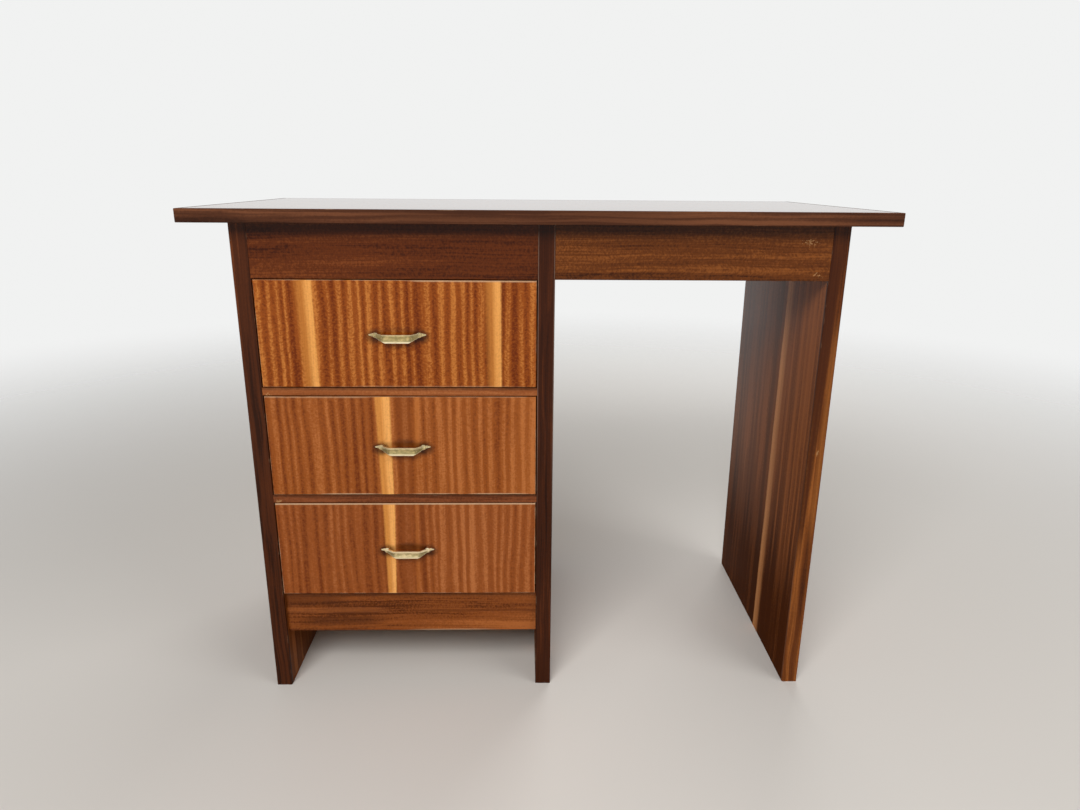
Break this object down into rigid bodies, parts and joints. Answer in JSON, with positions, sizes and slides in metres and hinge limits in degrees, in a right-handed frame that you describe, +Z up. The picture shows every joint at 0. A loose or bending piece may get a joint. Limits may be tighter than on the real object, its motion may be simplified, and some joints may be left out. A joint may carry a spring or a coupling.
{
  "type": "writing desk",
  "caption": "Single-pedestal writing desk: overhanging slab top on upright panels, dovetailed drawers with brass bow pulls on the left and an open kneehole under an apron rail.",
  "frame": {"origin": "on the floor under the middle of the desktop", "axes": "+X to the right of a person sitting at the desk, +Y to the back of the desk, +Z up"},
  "size_m": [1, 0.49, 0.78],
  "materials": {
    "ribbon_veneer": "quarter-cut ribbon-striped mahogany veneer, upright grain, gloss lacquer",
    "desktop_veneer": "mahogany veneer, grain along the desk, gloss lacquer",
    "panel_veneer": "mahogany veneer, upright grain, gloss lacquer",
    "solid_mahogany": "solid red-brown mahogany, gloss lacquer",
    "beech": "bare planed beech",
    "plywood": "thin bare plywood",
    "brass": "aged cast brass",
    "steel": "zinc-plated steel"
  },
  "bodies": {
    "carcass": {"desktop_front_lipping": "solid_mahogany", "desktop_left_lipping": "solid_mahogany", "desktop_panel": "desktop_veneer", "desktop_rear_lipping": "solid_mahogany", "desktop_right_lipping": "solid_mahogany", "drawer_stops": "beech", "kneehole_front_rail": "solid_mahogany", "kneehole_rear_rail": "solid_mahogany", "left_cleat": "beech", "left_kicker": "beech", "left_side_lipping": "solid_mahogany", "left_side_panel": "panel_veneer", "lower_divider_rail": "solid_mahogany", "lower_left_runner": "beech", "lower_right_runner": "beech", "middle_left_cleat": "beech", "middle_left_runner": "beech", "middle_lipping": "solid_mahogany", "middle_panel": "panel_veneer", "middle_right_cleat": "beech", "middle_right_runner": "beech", "pedestal_back_panel": "plywood", "pedestal_top_rail": "solid_mahogany", "plinth_rail": "solid_mahogany", "right_cleat": "beech", "right_kicker": "beech", "right_side_lipping": "solid_mahogany", "right_side_panel": "panel_veneer", "upper_divider_rail": "solid_mahogany", "upper_left_runner": "beech", "upper_right_runner": "beech"},
    "upper_drawer": {"upper_drawer_back": "beech", "upper_drawer_bottom": "plywood", "upper_drawer_front": "ribbon_veneer", "upper_drawer_left_side": "beech", "upper_drawer_pull": "brass", "upper_drawer_pull_screws": "steel", "upper_drawer_right_side": "beech"},
    "middle_drawer": {"middle_drawer_back": "beech", "middle_drawer_bottom": "plywood", "middle_drawer_front": "ribbon_veneer", "middle_drawer_left_side": "beech", "middle_drawer_pull": "brass", "middle_drawer_pull_screws": "steel", "middle_drawer_right_side": "beech"},
    "lower_drawer": {"lower_drawer_back": "beech", "lower_drawer_bottom": "plywood", "lower_drawer_front": "ribbon_veneer", "lower_drawer_left_side": "beech", "lower_drawer_pull": "brass", "lower_drawer_pull_screws": "steel", "lower_drawer_right_side": "beech"}
  },
  "joints": [
    {"name": "upper_drawer_slide", "type": "slide", "parent": "carcass", "child": "upper_drawer", "axis": [0, -1, 0], "range_m": [0, 0.3]},
    {"name": "middle_drawer_slide", "type": "slide", "parent": "carcass", "child": "middle_drawer", "axis": [0, -1, 0], "range_m": [0, 0.3]},
    {"name": "lower_drawer_slide", "type": "slide", "parent": "carcass", "child": "lower_drawer", "axis": [0, -1, 0], "range_m": [0, 0.3]}
  ]
}
